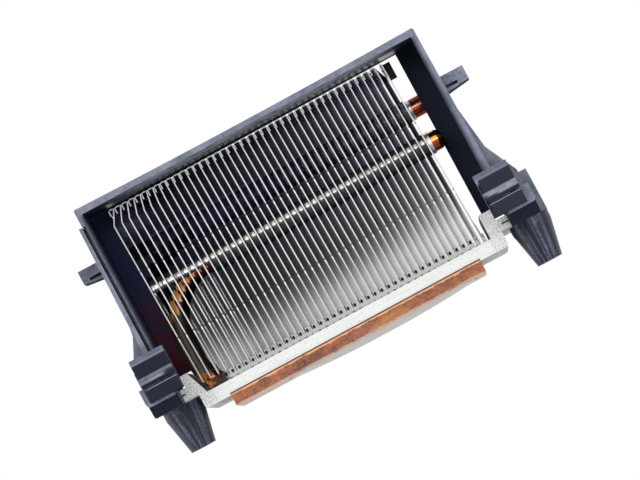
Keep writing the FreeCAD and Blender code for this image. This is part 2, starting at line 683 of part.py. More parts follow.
def screw_sleeves():
    """Two tapered sleeves under the ears, each with a spigot pressed up into its ear's hole."""
    sleeves = []
    for side in (-1, 1):
        x = side * SCREW_X
        spigot = flat_sided_upright(x, EAR_HOLE_R - SPIGOT_FIT, HOLE_SIDES, EAR_Z, EAR_TOP_Z)
        skirt_z = EAR_Z - SKIRT_H
        skirt = upright_cylinder(x, 0, TOWER_R, skirt_z, EAR_Z)
        sleeve = Part.makeCone(TIP_R, TOWER_R, skirt_z, V(x, 0, 0)).fuse([skirt, spigot])
        socket_z = EAR_Z - SOCKET_DROP
        socket = upright_cylinder(x, 0, SLEEVE_BORE_R, 0, socket_z)
        screw_way = flat_sided_upright(x, SLEEVE_BORE_R, HOLE_SIDES, socket_z, EAR_TOP_Z)
        sleeves.append(sleeve.cut([socket, screw_way]).removeSplitter())
    return Part.makeCompound(sleeves)


def captive_screws():
    """Two screws with six-sided, cross-slotted heads that stay in their towers."""
    screws = []
    head_z = TOWER_TOP_Z - SCREW_HEAD_CLEAR - SCREW_HEAD_H
    head_top = head_z + SCREW_HEAD_H
    head_flat_r = SCREW_HEAD_R * math.cos(math.pi / 6)
    for side in (-1, 1):
        x = side * SCREW_X
        shank = flat_sided_upright(x, SCREW_R, HOLE_SIDES, EAR_Z - SCREW_TIP_DROP, head_z)
        screw = shank.fuse(flat_sided_upright(x, head_flat_r, 6, head_z, head_top))
        for length, width in ((DRIVE_L, DRIVE_W), (DRIVE_W, DRIVE_L)):
            screw = screw.cut(box(x - length / 2, x + length / 2, -width / 2, width / 2,
                                  head_top - DRIVE_DEPTH, head_top))
        screws.append(screw.removeSplitter())
    return Part.makeCompound(screws)


def screw_springs():
    """Two springs under the screw heads, each as the tube that its coils fill."""
    spring_top = TOWER_TOP_Z - SCREW_HEAD_CLEAR - SCREW_HEAD_H
    springs = []
    for side in (-1, 1):
        x = side * SCREW_X
        tube = flat_sided_upright(x, SPRING_R, HOLE_SIDES, TOWER_FLOOR_Z, spring_top)
        inside = flat_sided_upright(x, SPRING_R - SPRING_WIRE, HOLE_SIDES, TOWER_FLOOR_Z, spring_top)
        springs.append(tube.cut(inside))
    return Part.makeCompound(springs)


def all_parts():
    """Every node's name and shape."""
    parts = {
        "frame_moulding": frame_moulding(),
        "base_extrusion": base_extrusion(),
        "copper_slab": copper_slab(),
        "screw_sleeves": screw_sleeves(),
        "captive_screws": captive_screws(),
        "screw_springs": screw_springs(),
    }
    for name, y, upper_z, tip in pipe_lines():
        parts[f"heat_pipe_{name}"] = heat_pipe(y, upper_z, tip)
        parts[f"collar_sleeve_{name}"] = collar_sleeve(y, upper_z)
    for k in range(FIN_COUNT):
        parts[f"fin_{k + 1:02d}"] = fin(k)
    return parts


os.makedirs("parts", exist_ok=True)
for node, shape in all_parts().items():
    print(node, "solids", len(shape.Solids), "valid", shape.isValid(), "volume", round(shape.Volume, 1))
    shape.exportStep(f"parts/{node}.step")
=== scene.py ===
"""Looks of a CPU heatsink: finned aluminium stack, copper heat pipes and slab, black moulded frame.

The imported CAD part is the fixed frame. Every new piece is drawn in millimetres in that frame and stored in
metres: +X to the right seen from the frame's mouth, +Y to the rear, +Z up, and the origin midway between the
two fixing holes. Sizes and places are in mm unless they say otherwise.
"""
import logging
import math
from dataclasses import dataclass
from enum import Enum
from functools import reduce

import bpy
import numpy as np
from mathutils import Matrix, Vector

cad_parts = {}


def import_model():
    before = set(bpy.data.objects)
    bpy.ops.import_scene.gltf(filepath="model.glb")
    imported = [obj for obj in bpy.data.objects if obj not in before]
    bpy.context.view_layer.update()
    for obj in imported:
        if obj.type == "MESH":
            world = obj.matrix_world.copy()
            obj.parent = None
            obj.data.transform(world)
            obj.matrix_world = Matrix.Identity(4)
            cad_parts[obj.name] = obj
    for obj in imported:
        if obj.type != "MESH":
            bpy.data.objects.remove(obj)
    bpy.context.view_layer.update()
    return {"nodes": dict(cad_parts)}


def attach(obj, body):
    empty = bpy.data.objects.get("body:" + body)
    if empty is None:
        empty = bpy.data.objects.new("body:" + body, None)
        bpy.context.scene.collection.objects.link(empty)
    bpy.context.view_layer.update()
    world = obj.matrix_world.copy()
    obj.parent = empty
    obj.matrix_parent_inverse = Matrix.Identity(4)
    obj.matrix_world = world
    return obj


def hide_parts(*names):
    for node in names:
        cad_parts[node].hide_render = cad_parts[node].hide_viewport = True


LOG = logging.getLogger("heatsink")
MM = 0.001
BODY = "root"
QUARTER_TURN = np.pi / 2
FULL_TURN = 2 * np.pi
Object = bpy.types.Object
Material = bpy.types.Material
Socket = bpy.types.NodeSocket
Tree = bpy.types.NodeTree
Span = tuple[float, float]
Band = tuple[float, float, float, float]
Triple = tuple[float, float, float]
EVEN: Triple = (1.0, 1.0, 1.0)

# How far a face turns along or against an axis, as its normal's component, between none and all of a mask.
SQUARE_ON: Span = (0.8, 0.95)
ALONG: Span = (0.4, 0.8)
AGAINST: Span = (-0.4, -0.8)
WELL_AGAINST: Span = (-0.5, -0.8)
DOWNWARD: Span = (-0.7, -0.9)

# Between the front pipe and the rear one.
REAR_PIPE_Y: Span = (-4.0, -2.0)


class Leg(Enum):
    """The heat pipes: depth and height of the upper leg's axis, end of its collars, and its tip."""

    FRONT = (-12.35, 45.1, 42.39, 46.10)
    REAR = (5.65, 57.25, 42.05, 47.75)


class Side(Enum):
    """The two ends of the frame, as the sign of X."""

    LEFT = -1
    RIGHT = 1


@dataclass(frozen=True)
class FinStack:
    """Where the fins stand: they lean to the left going up and shift to the right going back."""

    pitch: float = 2.177
    foot_x: float = -45.465
    first_foot_x: float = -46.765  # the first fin has fanned out
    front_y: float = -18.85
    foot_z: float = 12.8
    lean: float = 0.0283
    rear_shift: float = 0.0485
    last_rear_shift: float = 0.021

    def at(self, foot_x: float, y: float, z: float) -> float:
        """The X of the fin with this foot, at a depth and height."""
        return foot_x - self.lean * (z - self.foot_z) + self.rear_shift * (y - self.front_y)


FINS = FinStack()


@dataclass(frozen=True)
class Zone:
    """A part of the frame: along each axis a span, a band of four places, or no limit."""

    x: Span | Band | None = None
    y: Span | Band | None = None
    z: Span | Band | None = None


def linear(hex_code: str) -> tuple[float, float, float, float]:
    """An sRGB hex colour as linear RGBA.

    Args:
        hex_code: Six hex digits.

    Returns:
        Red, green, blue and an alpha of 1.
    """
    raw = [int(hex_code[i:i + 2], 16) / 255 for i in (0, 2, 4)]
    r, g, b = [c / 12.92 if c <= 0.04045 else ((c + 0.055) / 1.055) ** 2.4 for c in raw]
    return r, g, b, 1.0


def add(tree: Tree, kind: str, inputs: dict | None = None, **settings: object) -> bpy.types.Node:
    """Adds one node with its settings, values and links.

    Args:
        tree: The node tree.
        kind: The node's type without the ShaderNode prefix.
        inputs: Input name or index to a value, or to an output socket that is linked to it.
        settings: Attributes of the node itself.

    Returns:
        The new node.
    """
    node = tree.nodes.new("ShaderNode" + kind)
    for name, value in settings.items():
        setattr(node, name, value)
    for key, value in (inputs or {}).items():
        if isinstance(value, Socket):
            tree.links.new(value, node.inputs[key])
        else:
            node.inputs[key].default_value = value
    return node


@dataclass
class Recipe:
    """A material under construction, with short names for the sums that its masks are made of."""

    name: str

    def __post_init__(self) -> None:
        """Starts the node tree with the point's place in mm and its normal."""
        self.material = bpy.data.materials.new(self.name)
        self.material.use_nodes = True
        self.tree = self.material.node_tree
        self.shader = self.tree.nodes["Principled BSDF"]
        self.place = add(self.tree, "TexCoord").outputs["Object"]
        scaled = add(self.tree, "VectorMath", {0: self.place, 3: 1 / MM}, operation="SCALE")
        self.x, self.y, self.z = add(self.tree, "SeparateXYZ", {0: scaled.outputs[0]}).outputs
        normal = add(self.tree, "NewGeometry").outputs["Normal"]
        self.nx, self.ny, self.nz = add(self.tree, "SeparateXYZ", {0: normal}).outputs

    def sum(self, operation: str, *values: Socket | float) -> Socket:
        """One step of arithmetic on sockets and numbers."""
        return add(self.tree, "Math", dict(enumerate(values)), operation=operation).outputs[0]

    def times(self, *values: Socket | float) -> Socket:
        """The product of masks and strengths."""
        return reduce(lambda a, b: self.sum("MULTIPLY", a, b), values)

    def most(self, *values: Socket | float) -> Socket:
        """The largest of some masks, point by point."""
        return reduce(lambda a, b: self.sum("MAXIMUM", a, b), values)

    def rest(self, mask: Socket) -> Socket:
        """What a mask leaves out."""
        return self.sum("SUBTRACT", 1.0, mask)

    def ramp(self, mask: Socket, gain: Socket | float, base: Socket | float) -> Socket:
        """The mask times the gain, plus the base."""
        return self.sum("MULTIPLY_ADD", mask, gain, base)

    def rise(self, value: Socket, start: float, full: float) -> Socket:
        """A smooth step along a value.

        Args:
            value: What the step runs along.
            start: Where the mask is still 0.
            full: Where it is 1; where this is below start, the mask falls as the value grows.

        Returns:
            The mask.
        """
        first, last = (0.0, 1.0) if start < full else (1.0, 0.0)
        stops = {0: value, 1: min(start, full), 2: max(start, full), 3: first, 4: last}
        return add(self.tree, "MapRange", stops, interpolation_type="SMOOTHSTEP").outputs[0]

    def band(self, value: Socket, start: float, full: float, fall: float, end: float) -> Socket:
        """A mask that rises from start to full and falls again from fall to end."""
        return self.times(self.rise(value, start, full), self.rise(value, end, fall))

    def zone(self, zone: Zone) -> Socket:
        """The mask of a zone: the product of those along its axes."""
        limits = [(v, p) for v, p in ((self.x, zone.x), (self.y, zone.y), (self.z, zone.z)) if p]
        return self.times(*[self.rise(v, *p) if len(p) == 2 else self.band(v, *p) for v, p in limits])

    def near(self, value: Socket, centre: float, full: float, end: float) -> Socket:
        """A mask about a centre: 1 up to the distance full from it, and 0 from the distance end on."""
        return self.rise(self.sum("ABSOLUTE", self.sum("SUBTRACT", value, centre)), end, full)

    def noise(self, size: float, detail: float = 3.0, stretch: Triple = EVEN,
              where: Socket | None = None) -> Socket:
        """Noise with patches of a real size.

        Args:
            size: Width of the patches in mm.
            detail: How many finer layers the noise holds.
            stretch: Factor on each axis; below 1, the patches are drawn out along it.
            where: The place to read the noise at, in metres; the object's own coordinates if left out.

        Returns:
            Values about 0.5.
        """
        where = where or self.place
        if stretch != EVEN:
            where = add(self.tree, "VectorMath", {0: where, 1: stretch}, operation="MULTIPLY").outputs[0]
        inputs = {"Vector": where, "Scale": 1 / (size * MM), "Detail": detail, "Roughness": 0.6}
        return add(self.tree, "TexNoise", inputs).outputs[0]

    def patches(self, size: float, start: float, full: float, detail: float = 3.0,
                stretch: Triple = EVEN) -> Socket:
        """Noise of a real size cut to patches: none at the value start, all at the value full."""
        return self.rise(self.noise(size, detail, stretch), start, full)

    def blend(self, mask: Socket, low: str | Socket, high: str | Socket) -> Socket:
        """Two colours, hex or socket: low where the mask is 0, high where it is 1."""
        low, high = [linear(c) if isinstance(c, str) else c for c in (low, high)]
        return add(self.tree, "Mix", {0: mask, 6: low, 7: high}, data_type="RGBA").outputs[2]

    def bump(self, height: Socket, depth: float, strength: float) -> None:
        """A fine relief on the surface, its depth in mm."""
        node = add(self.tree, "Bump", {"Strength": strength, "Distance": depth * MM, "Height": height})
        self.set(Normal=node.outputs[0])

    def set(self, **values: Socket | float) -> None:
        """Sets or links the shader's inputs.

        Args:
            values: Input names, with an underscore for each space, to values or sockets.
        """
        for key, value in values.items():
            socket = self.shader.inputs[key.replace("_", " ")]
            if isinstance(value, Socket):
                self.tree.links.new(value, socket)
            else:
                socket.default_value = value


@dataclass(frozen=True)
class MouldedBlack:
    """Black thermoplastic, moulded with a fine grain."""

    # Gives the eye an old frame: smooth blue-black within, dust and a painted sheen outside, painted
    # highlights along the clips' ridges.
    name: str = "abs_moulded_black"
    black: str = "1b1f2e"
    inside: str = "1e2440"
    recess: str = "272b3a"
    recess_left: str = "363c5c"
    under_rail_grey: str = "b2b6c3"
    copper_reflection_tint: str = "642a34"
    highlight_grey: str = "9a9eae"
    dust_sheen_grey: str = "8b90a2"
    dust_sheen_grey_low: str = "6b7082"
    shine: float = 0.1
    roughness: float = 0.36
    roughness_matt: float = 0.5  # more on matt faces
    roughness_smooth: float = -0.17  # less on the rail's polished underside
    grain: float = 0.5  # finer in truth, drawn as coarse as it needs to show
    grain_depth: float = 0.06
    middle_x: float = -1.5
    right_x: Span = (-1.0, 1.0)
    inner_half: float = 52.6  # half the width of the mouth
    rail_z: float = 71.5
    front_facing: Span = (-0.955, -0.99)
    mouth_y: Span = (-20.0, -24.0)
    lip_y: Span = (-20.0, -30.0)
    clip_reach: Span = (49.0, 50.0)
    clip_y: Span = (-30.6, -31.2)
    hollow_z: Band = (25.4, 26.0, 28.0, 28.7)
    nose_y: Span = (-33.7, -34.3)
    ridge_z: float = 23.6
    line_z: float = 20.95
    lug_reach: Span = (55.5, 56.5)
    lug_z: Band = (48.0, 50.0, 64.0, 66.0)
    wall_y: Span = (-27.0, -25.0)
    flange_x: Span = (-10.0, 10.0)
    copper_reflection: Zone = Zone((-38.0, -47.0), (-17.0, -5.0), (50.0, 36.0))
    ceiling: Zone = Zone(x=(-50.0, -32.0, 36.0, 48.0), z=(70.0, 72.0))
    ceiling_front_y: Span = (-16.0, -22.0)

    def dust_and_sheen(self, r: Recipe, reach: Socket, front: Socket, beside: Socket, filled: Socket) -> Socket:
        """How much dust and painted sheen a point has: most on the rim and on faces that look up, least on
        plain sides, which hold only dust in patches.

        Args:
            r: The recipe.
            reach: Distance from the mouth's middle along X.
            front: Faces that look to the front.
            beside: What lies outside the mouth.
            filled: All but the hollows of the clips.

        Returns:
            The mask.
        """
        rim = r.most(r.rise(reach, self.inner_half - 0.5, self.inner_half + 1.2),
                     r.rise(r.z, self.rail_z, self.rail_z + 1.8))
        sideways = r.rise(r.sum("ABSOLUTE", r.nx), *SQUARE_ON)
        # Faces that look up and forward: dust, and painted light as from a lamp above the front.
        upper = r.times(r.rise(r.nz, 0.25, 0.5), r.rise(r.ny, -0.1, -0.3), 0.75, filled)
        mouth = r.times(sideways, r.rise(r.y, *self.lip_y), 0.35)
        outer = r.most(r.rise(r.y, *self.mouth_y), beside)
        # Painted sheen, with dust, on the rim's front faces, on faces that look up and on the mouth's sides.
        sheen_faces = r.times(r.most(r.times(front, rim), upper, mouth), outer)
        plain = r.most(r.times(sideways, beside), r.rise(r.ny, *SQUARE_ON), r.rise(r.nz, *SQUARE_ON))
        plain = r.times(plain, r.ramp(r.patches(2.2, 0.3, 0.75, 5.0), 0.16, 0.2))
        return r.most(sheen_faces, plain)

    def bare(self, r: Recipe, front: Socket, inwards: Socket, within: Socket) -> Socket:
        """The plastic without its dust and painted sheen: bluer within, with a painted reflection of the
        copper on the left wall.

        Args:
            r: The recipe.
            front: Faces that look to the front.
            inwards: What lies inside the mouth.
            within: Inner faces behind the mouth's lip.

        Returns:
            The colour.
        """
        # Painted reflection of the copper pipe on the left inner wall, in patches.
        copper_reflection = r.times(r.zone(self.copper_reflection), r.patches(9.0, 0.3, 0.6, 2.0), inwards)
        flange = r.blend(r.rise(r.x, *self.flange_x), self.recess_left, self.recess)
        colour = r.blend(within, self.black, r.blend(front, self.inside, flange))
        return r.blend(copper_reflection, colour, self.copper_reflection_tint)

    def clip_highlights(self, r: Recipe, clip: Socket, filled: Socket, right: Socket) -> Socket:
        """Painted highlights on the clips: along a ridge and a line, on their noses, and faintly all over,
        more on the right.

        Args:
            r: The recipe.
            clip: The clips.
            filled: All but the hollows of the clips.
            right: The right half.

        Returns:
            The mask.
        """
        # Painted highlight along the clips' rounded ridge, stronger on the right, and along the edge line
        # below it.
        ridge = r.times(r.near(r.z, self.ridge_z, 0.4, 1.0), r.ramp(right, 0.65, 0.2))
        line = r.times(r.near(r.z, self.line_z, 0.3, 0.5), 0.85)
        # Both painted highlights on the clips, broken in patches.
        pale_mark = r.times(clip, r.most(ridge, line), r.patches(3.0, 0.25, 0.55))
        nose = r.times(r.rise(r.y, *self.nose_y), filled)
        # The last term is a faint painted light over the whole clips, twice as strong on the right.
        return r.most(pale_mark, nose, r.times(clip, r.ramp(right, 0.03, 0.03)))

    def make(self) -> Material:
        """Builds the material: bare plastic, dust and painted sheen over it, painted highlights over that,
        and light grey patches under the rail.

        Returns:
            The material.
        """
        r = Recipe(self.name)
        reach = r.sum("ABSOLUTE", r.sum("SUBTRACT", r.x, self.middle_x))
        beside = r.rise(reach, self.inner_half, self.inner_half + 0.2)
        inwards = r.rest(beside)
        front = r.rise(r.ny, *self.front_facing)
        under = r.rise(r.nz, *DOWNWARD)
        right = r.rise(r.x, *self.right_x)
        clip = r.times(r.rise(reach, *self.clip_reach), r.rise(r.y, *self.clip_y))
        filled = r.rest(r.times(clip, r.band(r.z, *self.hollow_z)))
        within = r.times(inwards, r.rise(r.y, *self.wall_y), r.rise(r.ny, 0.6, 0.3), r.rise(r.nz, 0.8, 0.5))
        grain = r.noise(self.grain, 2.0)

        lug = r.times(r.rise(reach, *self.lug_reach), r.band(r.z, *self.lug_z))
        mottle = r.patches(1.6, 0.3, 0.7, 4.0)
        # Painted shade on the lugs: less dust and sheen, in patches, and most on the left lug.
        lug_shade = r.ramp(r.rest(right), 0.28, r.ramp(mottle, 0.22, 0.04))
        dust_and_sheen = r.times(self.dust_and_sheen(r, reach, front, beside, filled), r.rise(grain, 0.05, 0.45),
                       r.rest(r.times(lug, lug_shade)))
        # Colour of the dust and painted sheen, flecked with black grain.
        dust_sheen_tone = r.blend(r.patches(6.0, 0.3, 0.7, 4.0), self.dust_sheen_grey_low, self.dust_sheen_grey)
        dust_sheen_tone = r.blend(r.times(r.patches(0.8, 0.5, 0.7), 0.2), dust_sheen_tone, self.black)
        colour = r.blend(dust_and_sheen, self.bare(r, front, inwards, within), dust_sheen_tone)

        # Painted light on the right lug, most on its front faces, in patches.
        lug_highlight = r.times(lug, r.ramp(front, 0.65, 0.35), right, r.rest(mottle), 0.4)
        colour = r.blend(r.most(lug_highlight, self.clip_highlights(r, clip, filled, right)), colour, self.highlight_grey)
        ceiling = r.times(under, r.zone(self.ceiling))
        # Light grey patches under the middle of the rail.
        colour = r.blend(r.times(ceiling, r.patches(4.0, 0.2, 0.6, 4.0), 0.9), colour, self.under_rail_grey)

        ahead = r.rise(r.y, *self.ceiling_front_y)
        matt = r.most(r.times(under, ahead), r.times(within, r.rest(under)))
        rough = r.ramp(matt, self.roughness_matt, self.roughness)
        rough = r.ramp(r.times(ceiling, r.rest(ahead)), self.roughness_smooth, rough)
        r.set(Base_Color=colour, Roughness=rough, Specular_IOR_Level=self.shine)
        r.bump(grain, self.grain_depth, 0.3)
        return r.material


@dataclass(frozen=True)
class MouldedSleeve:
    """The same plastic on the tapered sleeves, drawn from the mould along their length, with painted
    highlight streaks down their front.
    """

    # Gives the eye a round, slightly glossy taper, with faint painted highlight streaks down it.
    name: str = "abs_moulded_sleeve"
    black: str = "181d2b"
    highlight_streak: str = "8087a2"
    axis_x: float = 56.265
    radius: float = 4.5
    streak_width: float = 0.8
    streak_run: float = 0.03  # the streaks' change along their length, against that across
    grain: float = 0.4  # finer in truth, drawn as coarse as it needs to show

    def make(self) -> Material:
        """Builds the material: painted highlight streaks from noise on the unrolled sleeve, drawn out along
        its height.

        Returns:
            The material.
        """
        r = Recipe(self.name)
        beside = r.sum("SUBTRACT", r.sum("ABSOLUTE", r.x), self.axis_x)
        turn = r.sum("ARCTAN2", beside, r.times(r.y, -1.0))
        around = r.times(turn, self.radius * MM)
        unrolled = {0: around, 1: r.times(r.z, self.streak_run * MM), 2: r.sum("SIGN", r.x)}
        lines = r.noise(self.streak_width, 2.0, where=add(r.tree, "CombineXYZ", unrolled).outputs[0])
        grain = r.noise(self.grain, 2.0)
        # Painted highlight: the streaks show only on faces that look to the front.
        mask = r.times(r.rise(lines, 0.42, 0.72), r.rise(r.ny, -0.2, -0.8), r.rise(grain, 0.25, 0.65))
        r.set(Base_Color=r.blend(mask, self.black, self.highlight_streak), Roughness=0.36, Specular_IOR_Level=0.4)
        r.bump(grain, 0.05, 0.25)
        return r.material


@dataclass(frozen=True)
class SawnAluminium:
    """Extruded aluminium with sawn ends."""

    # Gives the eye plain drawn sides and a pale, chalky cut face, with specks that crowd on the uprights.
    name: str = "aluminium_sawn"
    pale: str = "eceeec"
    dusty: str = "ebedeb"
    drawn: str = "d0d1d2"
    speck: str = "6c6d66"
    right_upright_x: Span = (42.6, 43.9)
    left_upright_x: Span = (-44.5, -46.0)
    saw_marks: float = 1.2
    saw_stretch: Triple = (0.08, 1.0, 1.0)
    grit: float = 0.35  # finer in truth, drawn as coarse as it needs to show

    def make(self) -> Material:
        """Builds the material.

        Returns:
            The material.
        """
        r = Recipe(self.name)
        sawn = r.rise(r.ny, -0.8, -0.95)
        ends = r.most(r.rise(r.x, *self.right_upright_x), r.rise(r.x, *self.left_upright_x))
        crowded = r.times(ends, r.patches(0.42, 0.49, 0.36, 2.0))
        dots = r.most(r.times(r.patches(0.55, 0.36, 0.29, 2.0), 0.6), crowded)
        marks = r.patches(self.saw_marks, 0.4, 0.7, 2.0, self.saw_stretch)
        face = r.blend(r.times(marks, 0.25), r.blend(ends, self.pale, self.dusty), self.drawn)
        face = r.blend(r.times(r.patches(0.4, 0.5, 0.66, 2.0), 0.12), face, self.speck)
        colour = r.blend(sawn, self.drawn, r.blend(r.times(dots, 0.7), face, self.speck))
        r.set(Base_Color=colour, Roughness=0.6, Metallic=0.0, Specular_IOR_Level=0.3)
        r.bump(r.noise(self.grit, 2.0), 0.08, 0.35)
        return r.material


@dataclass(frozen=True)
class RolledFin:
    """Thin rolled aluminium with sheared edges."""

    # Gives the eye white lines on gaps darkened by painted shade, which clears to a silver shimmer towards
    # the base.
    name: str = "aluminium_rolled_fin"
    edge: str = "e2e3e1"
    edge_low: str = "cbccca"
    fin_edge_highlight: str = "ffffff"
    fin_edge_shade: str = "55565c"
    tongue: str = "b9bbba"
    tongue_pipe_reflection: str = "463832"
    copper_reflection: str = "b4683a"
    hole_shade: str = "1e2022"
    seam_shade: str = "343432"
    gap_shade: str = "2e3048"
    gap_shade_low: str = "31323a"
    lit: str = "7c80a8"
    clean: str = "e0e2e2"
    ear_shade: str = "34383a"
    under: str = "bcc2da"
    slot: str = "2c2d38"
    reflection_tint: str = "a6aaff"
    reflection_tint_low: str = "e4e4e0"
    white: str = "ffffff"
    roughness: float = 0.2
    gap_shade_metal: float = 0.225  # how metallic a face in painted shade still is
    edge_low_z: Span = (33.0, 25.0)
    fin_edge_highlight_z: Span = (50.9, 29.3)  # two rows of painted highlights on the edges
    fin_edge_shade_rise: float = 0.85  # painted shade just above each highlight
    tongue_z: Span = (15.9, 15.5)
    tongue_y: Span = (-12.0, -15.0)
    copper_tint: Zone = Zone((-38.8, -40.6), (-10.0, -14.0))
    copper_glint_x: Span = (-41.0, -43.0)
    hole_inset: float = 1.1  # painted shade of a hole to the right of each fin's foot
    hole_half: Span = (0.42, 0.6)  # its half width and half height
    hole_z: float = 14.65
    hole_x: Span = (-42.0, -40.0)
    seam_shade_zone: Zone = Zone(y=(-17.0, -18.0), z=(13.3, 13.05))
    lip_z: Span = (60.0, 62.0)
    recess_y: Span = (-18.3, -17.8)  # edges behind the front ones
    slot_high: Zone = Zone(x=(-42.0, -44.0), z=(38.0, 42.0))
    slot_line: Zone = Zone(x=(-28.0, -30.0), z=(42.0, 38.0))
    ear_shade_zone: Zone = Zone((40.3, 40.6), (-12.0, -11.0), (64.0, 65.0))
    first_plane_x: Span = (-44.8, -45.2)
    last_plane_x: Span = (41.8, 42.2)
    bent_tops: Zone = Zone(x=(-36.0, -37.0), z=(64.8, 65.4))
    drift: float = -0.034  # the part clear of painted shade reaches this much higher for each mm to the right
    clear_z: Span = (33.8, 19.5)
    clear_x: Span = (-50.0, 0.0)
    lower_z: Span = (48.0, 34.0)
    inner_z: Span = (46.0, 20.0)
    collar_slope: float = -0.047
    collar_z: float = 57.0
    collar: Zone = Zone((-43.0, -40.0), (5.0, 3.0))
    collar_left_x: Span = (0.0, -30.0)
    below_z: Span = (44.0, 30.0)
    band_x: Span = (40.0, 5.0)
    band_z: Band = (26.0, 31.0, 40.0, 47.0)
    lower_right: Zone = Zone(x=(12.0, 40.0), z=(43.0, 33.0))
    bend: Zone = Zone((-27.0, -30.0), (-7.0, -9.0), (33.0, 37.0, 46.5, 49.0))

    def end_faces(self, r: Recipe) -> Socket:
        """The outer faces of the first and last fins and of the bent tops, which get no painted shade.

        Args:
            r: The recipe.

        Returns:
            The mask.
        """
        leftward = r.rise(r.nx, *AGAINST)
        last = r.ramp(r.z, FINS.lean, r.ramp(r.y, -FINS.last_rear_shift, r.x))
        last = r.times(r.rise(last, *self.last_plane_x), r.rise(r.nx, *ALONG))
        first = r.ramp(r.z, FINS.lean, r.ramp(r.y, -FINS.rear_shift, r.x))
        first = r.times(r.rise(first, *self.first_plane_x), leftward)
        return r.most(last, first, r.times(leftward, r.zone(self.bent_tops)))

    def feet(self, r: Recipe, colour: Socket) -> Socket:
        """Adds painted shade in an oval hole beside each fin's foot, and a broken line of painted shade
        along the joint with the base.

        The painted hole is where (distance / half width)^2 + (height / half height)^2 is below about 1.

        Args:
            r: The recipe.
            colour: The colour below.

        Returns:
            The colour with both.
        """
        half_width, half_height = self.hole_half
        turns = r.sum("DIVIDE", r.sum("SUBTRACT", r.x, FINS.foot_x + self.hole_inset), FINS.pitch)
        apart = r.times(r.sum("PINGPONG", r.sum("ADD", turns, 100.0), 0.5), FINS.pitch)
        across = r.sum("POWER", r.sum("DIVIDE", apart, half_width), 2.0)
        along = r.sum("POWER", r.sum("DIVIDE", r.sum("SUBTRACT", r.z, self.hole_z), half_height), 2.0)
        # Painted shade of the hole beside each foot.
        hole_shade = r.times(r.rise(r.sum("ADD", across, along), 1.25, 0.6), r.rise(r.x, *self.hole_x))
        # Painted shade, broken in dashes, where the fins' feet meet the base.
        seam_shade = r.times(r.zone(self.seam_shade_zone), r.patches(1.0, 0.38, 0.52, 2.0),
                       r.ramp(r.rise(apart, 0.55, 0.85), 0.75, 0.25))
        return r.blend(seam_shade, r.blend(hole_shade, colour, self.hole_shade), self.seam_shade)

    def edges(self, r: Recipe, ceiling: Socket, recessed: Socket) -> Socket:
        """The colour of all that doesn't face sideways: edges with painted highlights and shade, feet, lips,
        slots and a painted shade on the last fin's ear.

        Args:
            r: The recipe.
            ceiling: Undersides of the lips.
            recessed: What lies behind the front edges.

        Returns:
            The colour.
        """
        # Painted reflection of the copper pipe on the first fins' tongues: dark brown with orange glints.
        copper_glint = r.times(r.patches(1.3, 0.5, 0.68), r.rise(r.x, *self.copper_glint_x))
        tongue = r.blend(r.zone(self.copper_tint), self.tongue, r.blend(copper_glint, self.tongue_pipe_reflection, self.copper_reflection))
        edge = r.blend(r.rise(r.z, *self.edge_low_z), self.edge, self.edge_low)
        colour = r.blend(r.rise(r.z, *self.tongue_z), edge, tongue)
        # Two rows of painted highlights on the edges, each with painted shade just above.
        for height in self.fin_edge_highlight_z:
            fin_edge_shade = r.times(r.near(r.z, height + self.fin_edge_shade_rise, 0.2, 0.4), 0.7)
            colour = r.blend(fin_edge_shade, colour, self.fin_edge_shade)
            colour = r.blend(r.near(r.z, height, 0.3, 0.5), colour, self.fin_edge_highlight)
        colour = r.blend(ceiling, self.feet(r, colour), self.under)
        slot = r.most(r.zone(self.slot_high), r.times(r.zone(self.slot_line), 0.34))
        slot = r.times(recessed, slot, r.rise(r.ny, *WELL_AGAINST))
        # Painted shade on the last fin's ear.
        return r.blend(r.zone(self.ear_shade_zone), r.blend(slot, colour, self.slot), self.ear_shade)

    def shaded_metal_share(self, r: Recipe, drift: Socket, beside: Socket) -> Socket:
        """How metallic the faces in painted shade are: more in a band, at the lower right, by collars and
        bend.

        Args:
            r: The recipe.
            drift: Height, corrected for the slope of the clear part.
            beside: Faces by the rear collars.

        Returns:
            The share.
        """
        share = r.ramp(r.rise(drift, *self.below_z), 0.05, self.gap_shade_metal)
        share = r.ramp(r.times(r.rise(r.x, *self.band_x), r.band(drift, *self.band_z)), 0.1, share)
        share = r.sum("ADD", beside, r.ramp(r.zone(self.lower_right), 0.17, share))
        return r.ramp(r.zone(self.bend), 0.6, share)

    def make(self) -> Material:
        """Builds the material: faces darkened by painted shade that clears towards the base, and edges of
        their own colour.

        Returns:
            The material.
        """
        r = Recipe(self.name)
        side = r.rise(r.sum("ABSOLUTE", r.nx), *ALONG)
        drift = r.ramp(r.x, self.drift, r.z)
        # Painted shade in the fin gaps: clear is where it gives way to clean aluminium, low down and more so
        # to the right.
        clear = r.times(r.rise(drift, *self.clear_z), r.ramp(r.rise(r.x, *self.clear_x), 0.19, 0.73))
        root = r.times(r.rise(r.z, *self.tongue_z), r.rise(r.y, *self.tongue_y))
        clear = r.most(r.times(clear, r.rest(root)), self.end_faces(r))
        beside = r.near(r.ramp(r.y, self.collar_slope, r.z), self.collar_z, 2.6, 4.0)
        beside = r.times(beside, r.zone(self.collar), r.ramp(r.rise(r.x, *self.collar_left_x), 0.25, 0.2))
        share = self.shaded_metal_share(r, drift, beside)
        ceiling = r.times(r.rise(r.nz, *WELL_AGAINST), r.rise(r.z, *self.lip_z))
        recessed = r.rise(r.y, *self.recess_y)
        metal_face = r.ramp(clear, r.rest(share), share)
        metal_edge = r.most(r.times(recessed, r.rise(r.z, *self.inner_z), 0.4), ceiling)
        metal = r.sum("ADD", r.times(side, metal_face), r.times(r.rest(side), metal_edge))
        lower = r.rise(r.z, *self.lower_z)
